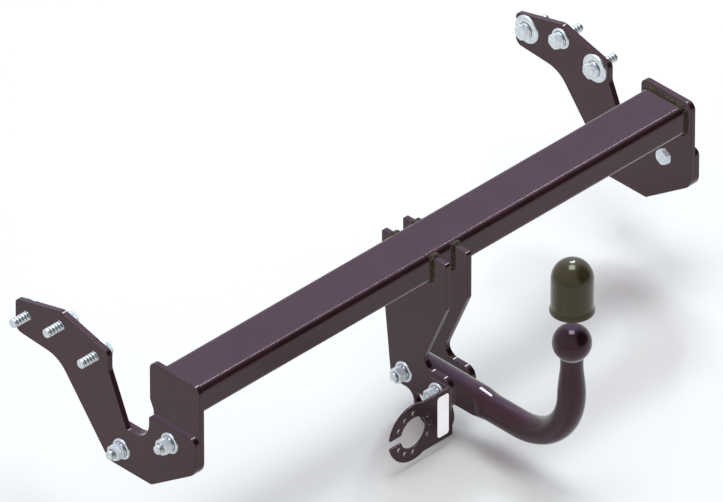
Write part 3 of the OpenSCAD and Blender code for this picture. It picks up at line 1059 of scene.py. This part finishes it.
@dataclass
class BallCap(Assembly):
    """The pull-off cap: a dome, a straight skirt and a lip at its rim."""

    inner: float = 25.4
    wall: float = 1.6
    skirt: float = 47.4
    lip: float = 1.7
    lip_height: float = 8.0
    lift: float = 96.3
    sides: int = 96
    steps: int = 26
    pole: float = 0.012
    crisp: float = 38.0
    flare: tuple[Ring, ...] = ((0.0, 1.12), (0.06, 1.0), (0.22, 0.90), (0.46, 0.74), (0.72, 0.52),
                               (0.92, 0.30), (1.0, 0.14))

    def rings(self) -> list[Ring]:
        """Lists the cap's rings: over the dome, down the skirt, round the lip and up inside.

        Returns:
            The radius and height of each ring.
        """
        outer, low = self.inner + self.wall, -self.skirt
        rim = outer + self.lip
        turn = (math.pi / 2 - self.pole) / self.steps
        dome = [self.pole + turn * i for i in range(self.steps + 1)]
        rings = [(outer * math.sin(a), outer * math.cos(a)) for a in dome]
        rings.append((outer, low / 2))
        rings += [(outer + share * self.lip, low + height * self.lip_height) for share, height in self.flare]
        rings += [(rim, low + 0.6), (rim - 0.2, low + 0.15), (rim - 0.6, low), (self.inner + 0.4, low),
                  (self.inner, low + 0.4), (self.inner, low / 2)]
        rings += [(self.inner * math.sin(a), self.inner * math.cos(a)) for a in reversed(dome)]
        return [(radius, height + self.lift) for radius, height in rings]

    def build(self) -> None:
        """Makes and dresses the cap."""
        cap = turned("ball_cap_shell", self.rings(), self.sides)
        smooth(cap, self.crisp)
        dress(cap, self.finishes.plastic, "ball_cap", Body.CAP)


@dataclass
class Fasteners(Assembly):
    """The zinc bolts, nuts and washers, each modelled once and copied to its places."""

    bolt_radius: float = 6.0
    hex_across: float = 19.0
    head: float = 8.0
    nut: float = 11.0
    pitch: float = 4.7
    end_rise: float = 3.4
    thread_depth: float = 1.7
    ridge: tuple[Ring, ...] = ((0.0, 0.50), (-0.4, 0.02), (-0.6, 0.06), (0.0, 0.28), (0.6, 0.08), (0.4, 0.06))
    chamfer: float = 0.35
    chamfer_slope: float = 26.0
    rounding: float = 0.22
    sides: int = 64
    trim_sides: int = 72
    washer_sides: int = 80
    thread_steps: int = 40
    spring_steps: int = 56
    spring_rounding: float = 0.35
    crisp: float = 32.0
    washer: float = 2.5
    washer_radius: float = 14.0
    wide_washer: float = 3.0
    wide_washer_radius: float = 19.3
    spring: float = 3.0
    spring_radius: float = 10.25
    split: float = 1.6
    play: float = 0.1
    stud: float = 26.0
    low_end: float = 7.0
    neck_end: float = 1.0
    plate: float = 8.0
    sheet: float = 3.0
    end_x: float = 426.0
    ear_x: float = 22.5
    bar_y: float = 255.0
    bar_z: float = 11.4
    neck_z: float = -168.0
    neck_y: tuple[float, float] = (206.5, 268.0)
    low_places: tuple[Ring, ...] = ((0.0, -68.4), (84.5, -120.0))
    end_places: tuple[Ring, ...] = ((130.6, -3.4), (250.0, -2.8))
    middle_place: Ring = (190.8, 12.4)

    def hexagon(self, height: float, both: bool) -> Piece:
        """Makes a hexagon whose corners are turned off at one end or at both.

        Args:
            height: Its height.
            both: Whether the lower end is turned off too.

        Returns:
            The hexagon, standing on Z = 0.
        """
        clear()
        corner = self.hex_across / 2 / math.cos(math.pi / 6)
        bpy.ops.mesh.primitive_cylinder_add(vertices=6, radius=corner * MM, depth=height * MM,
                                            location=(0, 0, height * MM / 2), rotation=(0, 0, math.pi / 6))
        block = bpy.context.object
        bpy.ops.object.transform_apply()
        soften(block, self.rounding, 25)
        flat = self.hex_across / 2 - self.chamfer
        fall = (corner + 1 - flat) * math.tan(math.radians(self.chamfer_slope))
        low = [(flat, 0.0), (corner + 1, fall)] if both else [(corner + 1, 0.0)]
        trim = turned("hex_trim", [*low, (corner + 1, height - fall), (flat, height)],
                      self.trim_sides)
        return cut(block, trim, "INTERSECT")

    def thread(self, length: float) -> Piece:
        """Makes a screwed rod with a plain end that is slightly tapered.

        Args:
            length: Its length.

        Returns:
            The rod, standing on Z = 0.
        """
        r, pitch = self.bolt_radius, self.pitch
        clear()
        bpy.ops.mesh.primitive_plane_add(size=2 * MM)
        ridge = bpy.context.object
        ridge.name = "screwed_end"
        turns = math.ceil(length / pitch) + 2
        with editing(ridge, "SELECT"):
            bpy.ops.mesh.merge(type="CENTER")
            start = length - self.end_rise - turns * pitch
            bpy.ops.transform.translate(value=(r * MM, 0, start * MM))
            for out, up in self.ridge:
                move = {"value": (out * self.thread_depth * MM, 0, up * pitch * MM)}
                bpy.ops.mesh.extrude_vertices_move(TRANSFORM_OT_translate=move)
        modify(ridge, "SCREW", axis="Z", angle=2 * math.pi, screw_offset=pitch * MM,
               iterations=turns + 1, steps=self.thread_steps, render_steps=self.thread_steps,
               use_merge_vertices=True, merge_threshold=0.01 * MM)
        with editing(ridge, "SELECT"):
            knit()
            bpy.ops.mesh.bisect(plane_co=(0, 0, 0), plane_no=(0, 0, 1), clear_inner=True, use_fill=True)
            bpy.ops.mesh.select_all(action="SELECT")
            bpy.ops.mesh.bisect(plane_co=(0, 0, length * MM), plane_no=(0, 0, 1), clear_outer=True,
                                use_fill=True)
            bpy.ops.mesh.select_all(action="SELECT")
            bpy.ops.mesh.normals_make_consistent(inside=False)
        trim = [(r + 1, -1), (r + 1, length - 1.8), (r - 0.9, length), (r - 1.2, length + 0.5)]
        tip = [(r - 0.5, length - 1.6), (r - 0.05, length - 1.5), (r - 0.05, length - 0.8), (r - 0.7, length)]
        cut(ridge, turned("thread_trim", trim, self.sides), "INTERSECT")
        return cut(ridge, turned("thread_tip", tip, self.sides), "UNION")

    def bolt(self, name: str, reach: float, screwed: float) -> Piece:
        """Makes a hexagon bolt, with its head under Z = 0 and its end at the top.

        Args:
            name: The object's name.
            reach: Length under the head.
            screwed: Length of the thread at its end.

        Returns:
            The bolt.
        """
        thread = self.thread(screwed)
        settle(thread, Matrix.Translation((0, 0, (reach - screwed) * MM)))
        head = self.hexagon(self.head, False)
        settle(head, Matrix.Rotation(math.pi, 4, "X"))
        seat, r = self.hex_across / 2 - 0.6, self.bolt_radius
        shank = [(seat, -0.3), (seat, 0.0), (r + 0.4, 0.0), (r, 0.5), (r, reach - screwed + 0.5)]
        cut(head, turned("shank", shank, self.sides), "UNION")
        cut(head, thread, "UNION")
        head.name = name
        return smooth(head, self.crisp)

    def nut_block(self) -> Piece:
        """Makes a nut.

        Returns:
            The nut, standing on Z = 0.
        """
        nut = self.hexagon(self.nut, True)
        hole = self.bolt_radius + self.play
        mouth = [(hole + 1.4, -0.5), (hole + 0.9, 0.0), (hole, 0.9)]
        bore = [*mouth, *((radius, self.nut - height) for radius, height in reversed(mouth))]
        cut(nut, turned("nut_bore", bore, self.sides))
        nut.name = "nut"
        return smooth(nut, self.crisp)

    def plain_washer(self, name: str, radius: float, height: float) -> Piece:
        """Makes a stamped washer: rounded at its upper rim and crisp at its lower one.

        Args:
            name: The object's name.
            radius: Its outside radius.
            height: Its thickness.

        Returns:
            The washer, lying on Z = 0.
        """
        hole = self.bolt_radius + self.play
        rings = [(hole, 0.1), (hole + 0.1, 0.0), (radius - 0.15, 0.0), (radius, 0.15),
                 (radius, height - 0.55), (radius - 0.16, height - 0.16), (radius - 0.55, height),
                 (hole + 0.35, height), (hole, height - 0.3), (hole, 0.1)]
        return smooth(turned(name, rings, self.washer_sides, hollow=True))

    def spring_washer(self) -> Piece:
        """Makes a split spring washer that is pressed flat.

        Returns:
            The washer, lying on Z = 0.
        """
        clear()
        hole = self.bolt_radius + self.play
        wide = self.spring_radius - hole
        middle = (self.spring_radius + hole) / 2
        bpy.ops.mesh.primitive_cube_add(size=1)
        ring = bpy.context.object
        ring.name = "spring_washer"
        ring.scale = (wide * MM, 0.2 * MM, self.spring * MM)
        ring.location = (middle * MM, 0, self.spring / 2 * MM)
        bpy.ops.object.transform_apply()
        gap = self.split / middle
        with editing(ring):
            pick(ring, "faces", lambda f: f.normal.y > 0.9)
            bpy.ops.mesh.spin(steps=self.spring_steps, angle=gap - 2 * math.pi, center=(0, 0, 0),
                              axis=(0, 0, 1))
            knit()
        soften(ring, self.spring_rounding, 40)
        return smooth(ring)

    def set_out(self, pattern: Piece, node: str, places: Sequence[Matrix]) -> None:
        """Copies a fastener to its places and dresses the copies as one piece.

        Args:
            pattern: The fastener.
            node: The CAD node that the copies stand for.
            places: Where each copy goes.
        """
        copies = [settle(copy(pattern, f"{node}_copy"), place) for place in places]
        dress(gather(copies, f"{node}_dressed"), self.finishes.zinc, node)

    def build(self) -> None:
        """Makes every fastener and sets out its copies."""
        stack = self.wide_washer + self.spring
        low_stack = self.washer + self.spring + self.nut
        upper = self.bolt("upper_bolt", stack + self.plate + self.stud, self.stud + 2)
        low = self.bolt("low_bolt", 2 * self.plate + low_stack + self.low_end, self.low_end + self.nut / 2)
        neck = self.bolt("neck_bolt", 2 * self.ear_x + self.sheet + low_stack + self.neck_end, 2 * self.nut)
        nut = self.nut_block()
        washer = self.plain_washer("washer", self.washer_radius, self.washer)
        middle = self.plain_washer("middle_washer", self.washer_radius, self.wide_washer)
        wide = self.plain_washer("wide_washer", self.wide_washer_radius, self.wide_washer)
        spring = self.spring_washer()
        arm_x = self.end_x + self.plate
        face_x = arm_x + self.plate
        upper_places = (*self.end_places, self.middle_place)
        rows = (("upper_bolts", upper, arm_x - stack, upper_places, 1),
                ("wide_washers", wide, arm_x, self.end_places, -1),
                ("middle_washer", middle, arm_x, (self.middle_place,), -1),
                ("upper_spring_washers", spring, arm_x - stack, upper_places, 1),
                ("low_bolts", low, self.end_x, self.low_places, 1),
                ("low_washers", washer, face_x, self.low_places, 1),
                ("low_spring_washers", spring, face_x + self.washer, self.low_places, 1),
                ("low_nuts", nut, face_x + self.washer + self.spring, self.low_places, 1))
        for side in Side:
            for part, shape, x, places, way in rows:
                spots = [along_x(side.value * x, self.bar_y + y, self.bar_z + z, side.value * way)
                         for y, z in places]
                self.set_out(shape, f"{side.word}_{part}", spots)
        rear_y, front_y = self.neck_y
        for word, y, x in (("rear", rear_y, self.ear_x + self.sheet), ("front", front_y, self.ear_x)):
            for part, shape, out in (("bolt", neck, -self.ear_x), ("washer", washer, x),
                                     ("spring_washer", spring, x + self.washer),
                                     ("nut", nut, x + self.washer + self.spring)):
                self.set_out(shape, f"{word}_neck_{part}", [along_x(-out, y, self.neck_z, -1)])
        for pattern in (upper, low, neck, nut, washer, middle, wide, spring):
            bpy.data.objects.remove(pattern)


@dataclass
class Studio:
    """The floor, the lights and the camera."""

    floor_z: float = -233.5
    width: float = 889.7
    middle: Place = (-110.3, 255.3, 64.8)
    lens: float = 1080.0
    sensor: float = 36.0
    wall: Place = (0.86, 0.85, 0.88)
    patches: tuple[tuple[Place, float, float, Place], ...] = (
        ((1.0, 1.0, 1.45), 42.0, 20.0, (1.16, 1.12, 1.52)),
        ((0.50, -0.80, 0.42), 54.0, 24.0, (0.03, 0.03, 0.03)),
        ((0.0, 0.0, -1.0), 91.0, 86.0, (1.0, 1.0, 1.0)),
    )

    def floor(self) -> None:
        """Lays a wide pale floor under the part."""
        clear()
        bpy.ops.mesh.primitive_plane_add(size=60, location=(0, 0, self.floor_z * MM))
        floor = bpy.context.object
        floor.name = "studio_floor"
        bpy.ops.object.transform_apply()
        floor.data.materials.append(FloorFinish("pale_floor").material())

    def softbox(self, name: str, way: Place, distance: float, size: tuple[float, float], power: float,
                shade: Place) -> None:
        """Hangs a soft light that faces the part.

        Args:
            name: The light's name.
            way: Direction from the part to the light.
            distance: Distance in metres.
            size: Width and height of the light in metres.
            power: Radiance of its face.
            shade: Its colour.
        """
        data = bpy.data.lights.new(name, "AREA")
        data.shape = "RECTANGLE"
        data.size, data.size_y = size
        data.color = shade
        data.energy = power * size[0] * size[1] * math.pi
        lamp = bpy.data.objects.new(name, data)
        bpy.context.scene.collection.objects.link(lamp)
        out = Vector(way).normalized()
        lamp.location = Vector((0, 0.15, 0)) + out * distance
        lamp.rotation_euler = out.to_track_quat("Z", "Y").to_euler()

    def room(self) -> None:
        """Lights the room: white walls, a brighter one in front and a dark one at the right rear."""
        world = bpy.data.worlds.new("studio_room")
        bpy.context.scene.world = world
        world.use_nodes = True
        tree = NodeTree(world.node_tree)
        where = tree.add("TexCoord", {}).outputs["Generated"]
        colour: object = self.wall
        for way, outer, inner, shade in self.patches:
            cosine = tree.along(where, Vector(way).normalized())
            share = tree.spread(cosine, math.cos(math.radians(outer)), math.cos(math.radians(inner)))
            colour = tree.blend(share, colour, shade)
        shine = tree.add("Background", {"Color": colour})
        tree.add("OutputWorld", {"Surface": shine.outputs["Background"]})

    def lights(self) -> None:
        """Hangs the softboxes and sets how the picture is shown."""
        self.room()
        self.softbox("top_box", (0.04, 0.04, 1.0), 3.2, (1.45, 1.45), 10.0, (0.90, 1.07, 1.12))
        self.softbox("small_box", (0.443, 0.443, 0.80), 6.4, (1.55, 0.85), 28.0, (0.82, 1.07, 1.14))
        self.softbox("edge_box", (0.577, 0.42, 0.690), 6.4, (0.50, 0.90), 46.0, (0.86, 1.06, 1.12))
        bpy.context.scene.view_settings.view_transform = "Standard"
        bpy.context.scene.view_settings.look = "None"

    def camera(self) -> None:
        """Sets the camera on the photograph's diagonal, with a very long lens."""
        data = bpy.data.cameras.new("camera")
        data.lens = self.lens
        data.sensor_width = self.sensor
        data.clip_end = 100.0
        camera = bpy.data.objects.new("camera", data)
        bpy.context.scene.collection.objects.link(camera)
        out = Vector((-1, -1, 1)).normalized()
        camera.location = Vector(self.middle) * MM + out * (self.width * MM * self.lens / self.sensor)
        camera.rotation_euler = out.to_track_quat("Z", "Y").to_euler()
        bpy.context.scene.camera = camera

    def build(self) -> None:
        """Sets up the floor, the lights and the camera."""
        self.floor()
        self.lights()
        self.camera()


def main() -> None:
    """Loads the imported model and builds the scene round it."""
    logging.basicConfig(level=logging.INFO, format="%(name)s: %(message)s")
    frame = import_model()
    finishes = Finishes()
    tube = frame["nodes"]["crossbar_tube"]
    for slot in tube.material_slots:
        slot.material = finishes.paint.material
    tube.visible_glossy = False
    for assembly in (Plates, Welds, SwanNeck, BallCap, Fasteners):
        assembly(finishes).build()
    Studio().build()
    clear()


if __name__ == "__main__":
    main()
